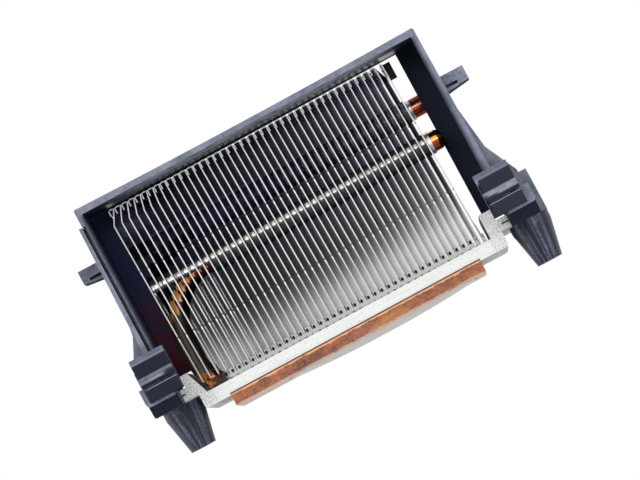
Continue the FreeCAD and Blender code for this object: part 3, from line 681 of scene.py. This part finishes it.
        # Colour of the faces in painted shade, with the painted reflection of the rear collars (lit) beside
        # them.
        gap_shade = r.blend(r.rise(beside, 0.0, 0.2), r.blend(lower, self.gap_shade, self.gap_shade_low), self.lit)
        colour = r.blend(side, self.edges(r, ceiling, recessed), r.blend(clear, gap_shade, self.clean))
        plain = r.rise(r.most(clear, r.times(ceiling, 0.28)), 0.0, 0.4)
        # Painted reflection colour: a blue tint on the reflections of the faces in painted shade, near white
        # lower down.
        tint = r.blend(plain, r.blend(lower, self.reflection_tint, self.reflection_tint_low), self.white)
        r.set(Base_Color=colour, Metallic=metal, Roughness=self.roughness, Specular_IOR_Level=0.0,
              Specular_Tint=tint)
        return r.material


@dataclass(frozen=True)
class DrawnCollar:
    """Drawn aluminium, with a painted highlight along the collars' crest."""

    # Gives the eye a string of bright beads of painted highlight between the fins, with the front collars'
    # flanks in painted shade.
    name: str = "aluminium_drawn_collar"
    crest_highlight: str = "e2dfd0"
    # Painted shade: the front collars' flanks are dark grey.
    flank: str = "525358"
    flank_rear: str = "e4e4e8"
    clean: str = "d6d7da"
    copper_tint: str = "e6b09a"
    crest_deg: float = 19.0  # how far the bright line is turned up from the front
    crest_rear_deg: float = -50.0
    end_x: Span = (40.9, 41.5)
    copper_tint_x: Span = (-24.0, -30.0)

    def make(self) -> Material:
        """Builds the material: the painted highlight on the crest is where the normal points along a
        direction in the YZ plane.

        Returns:
            The material.
        """
        r = Recipe(self.name)
        rear = r.rise(r.y, *REAR_PIPE_Y)
        crest_turn = math.radians(self.crest_deg)
        tilt = r.ramp(rear, math.radians(self.crest_rear_deg) - crest_turn, crest_turn)
        toward = r.times(r.nz, r.sum("SINE", tilt))
        toward = r.sum("SUBTRACT", toward, r.times(r.ny, r.sum("COSINE", tilt)))
        # Painted highlight on the crest, uneven in patches.
        crest_highlight = r.times(r.rise(toward, 0.966, 0.988), r.ramp(r.patches(3.0, 0.3, 0.55, 2.0), 0.35, 0.65))
        ends = r.rise(r.x, *self.end_x)
        dusty = r.most(r.ramp(rear, -0.2, 0.25), r.times(ends, 0.85))
        metal = r.ramp(r.times(crest_highlight, r.rest(rear)), r.rest(dusty), dusty)
        flank = r.blend(r.rise(r.x, *self.copper_tint_x), self.flank_rear, self.copper_tint)
        flank = r.blend(ends, r.blend(rear, self.flank, flank), self.clean)
        r.set(Base_Color=r.blend(crest_highlight, flank, self.crest_highlight), Metallic=metal, Roughness=0.3,
              Specular_IOR_Level=0.3)
        return r.material


@dataclass(frozen=True)
class Tarnish:
    """One layer of patches on the slab: noise of a size, drawn out along X and cut between two values."""

    colour: str
    size: float
    detail: float
    stretch: float
    start: float
    full: float
    strength: float


@dataclass(frozen=True)
class MilledCopper:
    """Milled copper, tarnished, with an uneven painted highlight under the base."""

    # Gives the eye old copper: brown, streaky and blotched, with a painted highlight and a painted shadow
    # line along the top edge, and a pale lower edge.
    name: str = "copper_milled_slab"
    bright: str = "965332"
    brown: str = "683a28"
    pale_mark: str = "efd2c2"
    top_edge_highlight: str = "eaa873"
    seam_shade: str = "2c1626"
    red: str = "b2402a"
    layers: tuple[Tarnish, ...] = (
        Tarnish("472821", 1.3, 5.0, 0.45, 0.46, 0.7, 0.6),  # dark stains
        Tarnish("c4864a", 7.0, 3.0, 0.5, 0.5, 0.7, 0.4),  # wide tan clouds
        Tarnish("c4864a", 0.5, 2.0, 1.0, 0.48, 0.65, 0.28),  # fine tan grain
        Tarnish("b4706a", 1.7, 3.0, 0.5, 0.5, 0.66, 0.25),  # rosy flecks
        Tarnish("472821", 0.6, 2.0, 0.6, 0.45, 0.3, 0.6),  # fine pits
    )
    top_edge_highlight_z: float = 8.6
    top_edge_highlight_wander: float = 1.6
    seam_shade_z: Span = (8.95, 9.07)
    right_x: Span = (38.0, 38.3)
    foot_z: Span = (5.95, 5.45)

    def make(self) -> Material:
        """Builds the material: tarnish layer on layer, then the painted highlight, the painted shadow at the
        seam, red end, pale underside and pale foot.

        Returns:
            The material.
        """
        r = Recipe(self.name)
        colour = r.blend(r.patches(5.0, 0.36, 0.6, 6.0, (0.6, 1.0, 1.0)), self.brown, self.bright)
        for layer in self.layers:
            mask = r.patches(layer.size, layer.start, layer.full, layer.detail, (layer.stretch, 1.0, 1.0))
            colour = r.blend(r.times(mask, layer.strength), colour, layer.colour)
        # Painted highlight in a wavy band just under the base.
        height = r.ramp(r.sum("SUBTRACT", r.noise(2.4), 0.5), self.top_edge_highlight_wander, r.z)
        top_edge_highlight = r.rise(height, self.top_edge_highlight_z - 0.2, self.top_edge_highlight_z + 0.15)
        colour = r.blend(r.times(top_edge_highlight, 0.85), colour, self.top_edge_highlight)
        # Painted shadow in the gap under the base.
        colour = r.blend(r.rise(r.z, *self.seam_shade_z), colour, self.seam_shade)
        end = r.times(r.rise(r.x, *self.right_x), r.rise(r.ny, -0.3, -0.7), 0.6)
        colour = r.blend(end, colour, self.red)
        colour = r.blend(r.times(r.rise(r.nz, *DOWNWARD), 0.8), colour, self.pale_mark)
        foot = r.times(r.rise(r.z, *self.foot_z), r.patches(3.0, 0.25, 0.5), 0.45)
        r.set(Base_Color=r.blend(foot, colour, self.pale_mark), Metallic=0.2, Roughness=0.5)
        return r.material


@dataclass(frozen=True)
class DrawnCopper:
    """Drawn copper pipe, with painted shade on its upright run."""

    # Gives the eye golden dashes of painted highlight along the outside of the bend, red-brown copper and a
    # run below darkened by painted shade.
    name: str = "copper_drawn_pipe"
    gold: str = "ffbe6a"
    red: str = "a8492a"
    orange: str = "d8743a"
    maroon: str = "3c1a16"
    pipe_shade: str = "3a3432"
    dimmed: str = "7e4636"
    top: str = "160b09"
    tip_top: str = "66231a"
    pink: str = "cf917a"
    metal: float = 0.95
    roughness: float = 0.18
    slant: float = 0.8  # how much a dash falls within one fin gap
    bend_x: Span = (-24.0, -29.0)
    bend_far_x: Span = (-29.0, -37.0)
    upright_x: Span = (-30.0, -35.0)
    run_z: Span = (38.5, 34.0)
    foot_z: Span = (15.0, 20.0)
    glint_z: Span = (19.0, 15.0)
    dim: Zone = Zone(y=REAR_PIPE_Y, z=(48.0, 52.0))

    def make(self) -> Material:
        """Builds the material; the attribute outer is the sine of the angle round the pipe.

        Returns:
            The material.
        """
        r = Recipe(self.name)
        outer = add(r.tree, "Attribute", attribute_name="outer").outputs["Fac"]
        left = r.rise(r.x, *self.bend_x)
        behind = r.rise(r.y, *REAR_PIPE_Y)
        beyond = r.rise(r.x, *self.upright_x)
        above_foot = r.rise(r.z, *self.foot_z)

        marks = r.times(r.patches(1.8, 0.42, 0.62, stretch=(0.4, 1.0, 1.0)), r.ramp(left, 0.3, 0.2))
        # The bend's maroon body is painted shade; the maroon marks are tarnish.
        body = r.blend(marks, r.blend(left, self.red, self.maroon), self.maroon)
        turns = r.sum("FRACT", r.sum("DIVIDE", r.sum("ADD", r.x, 100.0), FINS.pitch))
        tilted = r.times(outer, r.ramp(left, -0.6, 1.6))
        tilted = r.ramp(r.times(r.sum("SUBTRACT", turns, 0.5), left), self.slant, tilted)
        tilted = r.ramp(r.rise(r.x, *self.bend_far_x), -0.2, tilted)
        ended = r.sum("SUBTRACT", tilted, r.times(left, 0.25))
        # Painted highlight: a gold streak, pink on the rear pipe, slanted within each fin gap along the bend
        # as a painted reflection in the fins.
        highlight_streak = r.times(r.rise(tilted, -0.12, 0.12), r.rise(ended, 0.68, 0.5))
        colour = r.blend(highlight_streak, body, r.blend(behind, self.gold, self.pink))
        # Painted dark reflection of the rail above, along the pipe's top.
        colour = r.blend(r.rise(ended, 0.6, 0.76), colour, r.blend(left, self.tip_top, self.top))

        # Painted shade on the upright run and on the rear pipe's left part, lighter high on the rear pipe.
        run = r.times(r.rise(r.z, *self.run_z), above_foot)
        pipe_shade = r.times(beyond, r.most(run, r.times(behind, above_foot)), 0.95)
        pipe_shade_tone = r.blend(r.zone(self.dim), self.pipe_shade, self.dimmed)
        glints = r.times(beyond, r.rise(r.z, *self.glint_z), r.patches(2.0, 0.4, 0.55))
        colour = r.blend(glints, r.blend(pipe_shade, colour, pipe_shade_tone), self.orange)

        matt = r.most(r.ramp(pipe_shade, -0.45, r.times(highlight_streak, left, -0.75)), -0.75)
        rough = r.ramp(r.most(pipe_shade, r.times(highlight_streak, left, 0.7)), 0.35, self.roughness)
        r.set(Base_Color=colour, Metallic=r.sum("ADD", matt, self.metal), Roughness=rough)
        return r.material


@dataclass(frozen=True)
class Clouded:
    """A plain finish with faint clouds: noise of a size, cut between two values if they are given."""

    name: str
    colour: str
    cloud: str
    size: float
    cut: Span | None
    metal: float
    roughness: float

    def make(self) -> Material:
        """Builds the material.

        Returns:
            The material.
        """
        r = Recipe(self.name)
        clouds = r.patches(self.size, *self.cut) if self.cut else r.noise(self.size)
        colour = r.blend(clouds, self.colour, self.cloud)
        r.set(Base_Color=colour, Metallic=self.metal, Roughness=self.roughness)
        return r.material


# Zinc plating with a blue passivation: gives the eye bright, slightly cloudy steel.
ZINC = Clouded("steel_zinc_plated", "b9bec4", "a7acb2", 2.0, (0.4, 0.6), 1.0, 0.35)
# Compound pressed flat: gives the eye a smeared, pale paste with a soft shine, warm from the copper above.
COMPOUND = Clouded("compound_pressed_grey", "eee6e0", "e4dcd6", 3.0, (0.3, 0.7), 0.0, 0.55)
# Matt white paint: gives the eye a plain ground for the part's shadow.
FLOOR_PAINT = Clouded("floor_matt_paint", "f1f1f1", "eeeeee", 400.0, None, 0.0, 0.8)


def dress(material: Material, *objects: Object) -> None:
    """Gives a material to objects as their only one.

    Args:
        material: The material.
        objects: The objects that get it.
    """
    for item in objects:
        item.data.materials.clear()
        item.data.materials.append(material)
        LOG.info("%s: %s", item.name, material.name)


def circle(count: int) -> np.ndarray:
    """Angles evenly round a circle, without the last one that would meet the first."""
    return np.linspace(0, FULL_TURN, count, endpoint=False)


def unit(vectors: np.ndarray) -> np.ndarray:
    """The vectors of an (n, 3) array at length 1."""
    return vectors / np.linalg.norm(vectors, axis=1, keepdims=True)


def grid(name: str, points: np.ndarray, wrap: bool = True, caps: bool = True) -> Object:
    """A smooth mesh object from a grid of points, one quad for each cell.

    Args:
        name: The object's name.
        points: Array of shape (rows, columns, 3) in mm; rows run along the piece, columns around it.
        wrap: Whether the last column joins the first.
        caps: Whether the first and last rows are closed with a flat polygon.

    Returns:
        The new object.
    """
    rows, cols = points.shape[:2]
    index = np.arange(rows * cols).reshape(rows, cols)
    if wrap:
        index = np.hstack([index, index[:, :1]])
    quads = np.stack([index[:-1, :-1], index[:-1, 1:], index[1:, 1:], index[1:, :-1]], -1).reshape(-1, 4)
    faces = quads.tolist()
    if caps:
        ring = np.arange(cols)
        faces += [ring[::-1].tolist(), (ring + (rows - 1) * cols).tolist()]
    mesh = bpy.data.meshes.new(name)
    mesh.from_pydata((points.reshape(-1, 3) * MM).tolist(), [], faces)
    smooth = np.ones(len(faces), bool)
    smooth[len(quads):] = False
    mesh.polygons.foreach_set("use_smooth", smooth)
    mesh.update()
    piece = bpy.data.objects.new(name, mesh)
    bpy.context.scene.collection.objects.link(piece)
    return piece


def tube(name: str, path: np.ndarray, radius: np.ndarray, around: int = 36) -> Object:
    """A closed round tube along a path in a plane of constant Y.

    Each ring stands square to the path. Its two axes are the plane's normal and the cross product of path
    and normal, so that rings don't twist. The attribute outer holds the sine of the angle round the ring: 1
    on the outside of the path's bends, -1 on the inside.

    Args:
        name: The object's name.
        path: Points along the axis in mm, shape (n, 3).
        radius: Radius at each point in mm, shape (n,).
        around: Points on each ring.

    Returns:
        The new object.
    """
    along = unit(np.gradient(path, axis=0))
    across = np.array([0.0, 1.0, 0.0]) + 0 * along
    other = np.cross(along, across)
    turn = circle(around)[None, :, None]
    ring = np.cos(turn) * across[:, None] + np.sin(turn) * other[:, None]
    piece = grid(name, path[:, None] + radius[:, None, None] * ring)
    outer = np.tile(np.sin(turn).ravel(), len(path))
    piece.data.attributes.new("outer", "FLOAT", "POINT").data.foreach_set("value", outer)
    return piece


@dataclass
class HeatPipe:
    """A bent copper heat pipe with a spun-down tip, and the fins' drawn collars round its upper leg."""

    leg: Leg
    radius: float = 2.96
    run_x: float = -45.815
    lower_z: float = 9.4
    lower_bend: float = 13.0
    upper_bend: float = 16.75
    bend_steps: int = 25
    lower_end_x: float = 31.95
    tip_round: float = 2.2
    tip_steps: int = 10
    tip_power: float = 0.8
    tip_least: float = 0.12  # flat end of the tip, as a share of the radius
    collar_r: float = 3.36
    collar_waist: float = 0.09
    collar_inset: float = 2.0
    collar_fit: float = 0.06  # collar's bore outside the pipe
    collar_steps_per_mm: float = 4.9
    collar_least_steps: int = 24
    collar_around: int = 29
    open_deg: float = 8.0  # rim of an open collar below the axis
    closed_deg: float = 89.9
    first_gap: float = 0.05  # from the first fin to its collar
    join_gap: float = 0.02  # from the first collars to the others

    def path(self) -> np.ndarray:
        """The axis: lower leg, quarter turn up, upright run, quarter turn over, upper leg.

        Returns:
            Points in mm, shape (n, 3).
        """
        y, top, _, tip = self.leg.value
        turn = np.linspace(0, QUARTER_TURN, self.bend_steps)
        sin, cos = np.sin(turn), np.cos(turn)
        ease = tip - self.tip_round * (1 - np.sin(np.linspace(0, QUARTER_TURN, self.tip_steps)))
        x = np.concatenate([[self.lower_end_x], self.run_x + self.lower_bend * (1 - sin),
                            self.run_x + self.upper_bend * (1 - cos), ease])
        z = np.concatenate([[self.lower_z], self.lower_z + self.lower_bend * (1 - cos),
                            top - self.upper_bend * (1 - sin), np.full_like(ease, top)])
        return np.stack([x, np.full_like(x, y), z], -1)

    def pipe(self, name: str) -> Object:
        """The pipe as a tube whose tip closes in by a power of the cosine.

        Args:
            name: The object's name.

        Returns:
            The new object.
        """
        path = self.path()
        radius = np.full(len(path), self.radius)
        closing = np.cos(np.linspace(0, QUARTER_TURN, self.tip_steps)) ** self.tip_power
        radius[-self.tip_steps:] = self.radius * np.maximum(closing, self.tip_least)
        return tube(name, path, radius)

    def collars(self, name: str, start: float, end: float) -> Object:
        """Collars as a chain of beads round the upper leg, open below where the pipe bends away.

        The radius is a bead for each fin gap: full, less the waist times 1 - |sine| of the place in the gap.
        Each ring runs over the top from the front rim to the rear one, once outside and once inside, and
        closes on itself. The rims lie just under the axis along the bend, and meet below the pipe after it.

        Args:
            name: The object's name.
            start: Where the chain starts along X, in mm.
            end: Where it ends.

        Returns:
            The new object.
        """
        y, top, _, _ = self.leg.value
        steps = max(self.collar_least_steps, round(self.collar_steps_per_mm * (end - start)))
        x = np.linspace(start, end, steps)[:, None]
        gap = np.sin(np.pi * (x - FINS.at(FINS.foot_x, y, top)) / FINS.pitch) ** 2
        outer = self.collar_r - self.collar_waist * (1 - np.sqrt(gap))
        bent = x < self.run_x + self.upper_bend
        rim = np.where(bent, math.radians(self.open_deg), math.radians(self.closed_deg))
        turn = np.linspace(-1, 1, self.collar_around)[None] * (QUARTER_TURN + rim)
        angles = np.concatenate([turn, turn[:, ::-1]], 1)
        radius = np.concatenate([outer + 0 * turn, self.radius + self.collar_fit + 0 * turn], 1)
        points = [x + 0 * angles, y + radius * np.sin(angles), top + radius * np.cos(angles)]
        return grid(name, np.stack(points, -1))

    def build(self, copper: Material, alloy: Material) -> None:
        """Builds the pipe and its collars in the place of their CAD nodes, and the first fins' collars.

        Args:
            copper: The pipe's material.
            alloy: The collars' material.
        """
        name = self.leg.name.lower()
        pipe = self.pipe(f"pipe_{name}")
        dress(copper, pipe)
        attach(pipe, BODY)
        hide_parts(f"heat_pipe_{name}")
        y, top, end, _ = self.leg.value
        start = self.run_x + self.collar_inset
        collars = self.collars(f"collars_{name}", start, end)
        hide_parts(f"collar_sleeve_{name}")
        first_start = FINS.at(FINS.first_foot_x, y, top) + self.first_gap
        first = self.collars(f"first_collars_{name}", first_start, start - self.join_gap)
        for piece in (collars, first):
            dress(alloy, piece)
            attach(piece, BODY)


@dataclass
class CompoundPad:
    """The film of thermal compound under the slab, a shallow lens that thins out at its rim."""

    middle: Span = (5.0, 0.0)
    half: Span = (30.5, 17.0)
    thickness: float = 1.5
    slab_z: float = 5.4
    slab_gap: float = 0.02
    corner_power: int = 6  # 2 is an ellipse, and more is squarer
    rings: int = 18
    around: int = 96
    core: float = 0.02  # size of the flat middle, as a share of the rim's

    def build(self, material: Material) -> None:
        """Builds the pad: rings of a rounded oblong that sink by the lens formula, thickness times 1 - r^2.

        The oblong is |cos|^n + |sin|^n to the power of -1 / n at each angle, times the two half sizes.

        Args:
            material: The pad's material.
        """
        r = np.linspace(1.0, self.core, self.rings)[:, None]
        turn = circle(self.around)[None]
        cos, sin = np.cos(turn), np.sin(turn)
        power = self.corner_power
        square = (np.abs(cos) ** power + np.abs(sin) ** power) ** (-1 / power)
        x = self.middle[0] + self.half[0] * r * square * cos
        y = self.middle[1] + self.half[1] * r * square * sin
        z = self.slab_z - self.slab_gap - self.thickness * (1 - r ** 2) + 0 * turn
        pad = grid("compound_pad", np.stack([x, y, z], -1))
        dress(material, pad)
        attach(pad, BODY)


@dataclass
class ScrewSpring:
    """A coil spring under a screw's head, with closed end turns."""

    side: Side
    screw_x: float = 56.265
    floor_z: float = 19.0
    top_z: float = 23.35
    coil_r: float = 2.85
    wire_r: float = 0.44
    turns: float = 4.0
    closing: float = 0.7  # how flat the end turns are: 1 is flat
    steps: int = 121
    around: int = 10

    def build(self, material: Material) -> Object:
        """Builds the coil: a helix that climbs by t less a sine wave of t, so that it eases at both ends.

        Args:
            material: The coil's material.

        Returns:
            The coil.
        """
        t = np.linspace(0, 1, self.steps)
        turn = FULL_TURN * self.turns * t
        ease = t - np.sin(FULL_TURN * t) / FULL_TURN * self.closing
        out = np.stack([np.cos(turn), np.sin(turn), 0 * turn], -1)
        z = self.floor_z + self.wire_r + ease * (self.top_z - self.floor_z - 2 * self.wire_r)
        path = self.coil_r * out + np.stack([self.side.value * self.screw_x + 0 * z, 0 * z, z], -1)
        up = np.cross(unit(np.gradient(path, axis=0)), out)
        ring = circle(self.around)[None, :, None]
        points = path[:, None] + self.wire_r * (np.cos(ring) * out[:, None] - np.sin(ring) * up[:, None])
        coil = grid(f"spring_{self.side.name.lower()}", points)
        dress(material, coil)
        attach(coil, BODY)
        return coil


@dataclass(frozen=True)
class Lamp:
    """A square soft lamp, its angles in degrees and its size in metres; azimuth 90 is to the right."""

    name: str
    azimuth: float
    elevation: float
    size: float
    watts: float


@dataclass
class Studio:
    """Camera, lamps, world and floor."""

    eye: Triple = (23.96, -1330.35, -32.37)
    aim: Triple = (1.56, -30.35, 34.83)
    roll_deg: float = 28.3
    focal_px: float = 4650.0
    image_px: int = 640
    sensor: float = 36.0
    clip_m: Span = (0.05, 20.0)
    floor_z: float = -80.0
    floor_r: float = 420.0
    floor_rings: int = 12
    floor_around: int = 48
    fill: float = 0.4  # the surround's light, against its brightness to the camera
    lamp_middle: Triple = (0.0, 0.0, 35.0)
    lamp_away: float = 1700.0
    lamps: tuple[Lamp, ...] = (
        Lamp("key", -28.0, 24.0, 0.9, 10.0),
        Lamp("fill", 32.0, 6.0, 0.9, 7.0),
        Lamp("front", -3.0, 12.0, 0.4, 4.0),
        Lamp("back", 160.0, 35.0, 0.8, 6.0),
    )

    def camera(self) -> None:
        """Places the camera at the photograph's viewing angle, rolled so that the right end is up."""
        data = bpy.data.cameras.new("camera")
        data.sensor_fit = "HORIZONTAL"
        data.sensor_width = self.sensor
        data.lens = self.focal_px * self.sensor / self.image_px
        data.clip_start, data.clip_end = self.clip_m
        eye, aim = Vector(self.eye) * MM, Vector(self.aim) * MM
        ahead = (aim - eye).normalized()
        level = ahead.cross(Vector((0, 0, 1))).normalized()
        upright = level.cross(ahead)
        roll = math.radians(self.roll_deg)
        right = level * math.cos(roll) - upright * math.sin(roll)
        up = level * math.sin(roll) + upright * math.cos(roll)
        camera = bpy.data.objects.new("camera", data)
        camera.matrix_world = Matrix.Translation(eye) @ Matrix((right, up, -ahead)).transposed().to_4x4()
        bpy.context.scene.collection.objects.link(camera)
        bpy.context.scene.camera = camera

    def light(self, lamp: Lamp) -> None:
        """Hangs one lamp, turned to the middle of the part.

        Args:
            lamp: The lamp.
        """
        data = bpy.data.lights.new(lamp.name, "AREA")
        data.size = lamp.size
        data.energy = lamp.watts
        light = bpy.data.objects.new(lamp.name, data)
        az, el = math.radians(lamp.azimuth), math.radians(lamp.elevation)
        out = Vector((math.sin(az) * math.cos(el), -math.cos(az) * math.cos(el), math.sin(el)))
        light.location = (Vector(self.lamp_middle) + out * self.lamp_away) * MM
        light.rotation_euler = out.to_track_quat("Z", "Y").to_euler()
        bpy.context.scene.collection.objects.link(light)

    def world(self) -> None:
        """A white surround to the camera and in reflections, and a dimmer one as light."""
        world = bpy.data.worlds.new("studio")
        bpy.context.scene.world = world
        world.use_nodes = True
        tree = world.node_tree
        back = tree.nodes["Background"]
        back.inputs[0].default_value = (1.0, 1.0, 1.0, 1.0)
        path = add(tree, "LightPath").outputs
        seen = add(tree, "Math", {0: path["Is Camera Ray"], 1: path["Is Glossy Ray"]}, operation="MAXIMUM")
        seen = add(tree, "Math", {0: seen.outputs[0], 1: path["Is Transmission Ray"]}, operation="MAXIMUM")
        level = add(tree, "MapRange", {0: seen.outputs[0], 1: 0.0, 2: 1.0, 3: self.fill, 4: 1.0})
        tree.links.new(level.outputs[0], back.inputs[1])

    def floor(self) -> None:
        """A pale round floor below the part: rings about its middle."""
        r = np.linspace(0.0, self.floor_r, self.floor_rings)[:, None]
        turn = circle(self.floor_around)[None]
        points = np.stack([r * np.cos(turn), r * np.sin(turn), self.floor_z + 0 * r * turn], -1)
        floor = grid("floor", points[:, ::-1], caps=False)
        dress(FLOOR_PAINT.make(), floor)

    def build(self) -> None:
        """Sets the whole studio up."""
        bpy.context.scene.view_settings.view_transform = "Standard"
        self.camera()
        self.world()
        self.floor()
        for lamp in self.lamps:
            self.light(lamp)
            LOG.info("lamp %s", lamp.name)


def main() -> None:
    """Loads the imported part, dresses it and adds the pieces that the eye needs."""
    logging.basicConfig(level=logging.INFO, format="%(message)s")
    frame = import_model()
    nodes = frame["nodes"]
    Studio().build()
    dress(MouldedBlack().make(), nodes["frame_moulding"])
    dress(MouldedSleeve().make(), nodes["screw_sleeves"])
    dress(SawnAluminium().make(), nodes["base_extrusion"])
    dress(RolledFin().make(), *[nodes[n] for n in sorted(nodes) if n.startswith("fin_")])
    dress(MilledCopper().make(), nodes["copper_slab"])
    zinc = ZINC.make()
    dress(zinc, nodes["captive_screws"])
    pipe_copper = DrawnCopper().make()
    collar = DrawnCollar().make()
    for leg in Leg:
        HeatPipe(leg).build(pipe_copper, collar)
    CompoundPad().build(COMPOUND.make())
    coils = [ScrewSpring(side).build(zinc) for side in Side]
    for coil in coils:
        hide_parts("screw_springs")


if __name__ == "__main__":
    main()
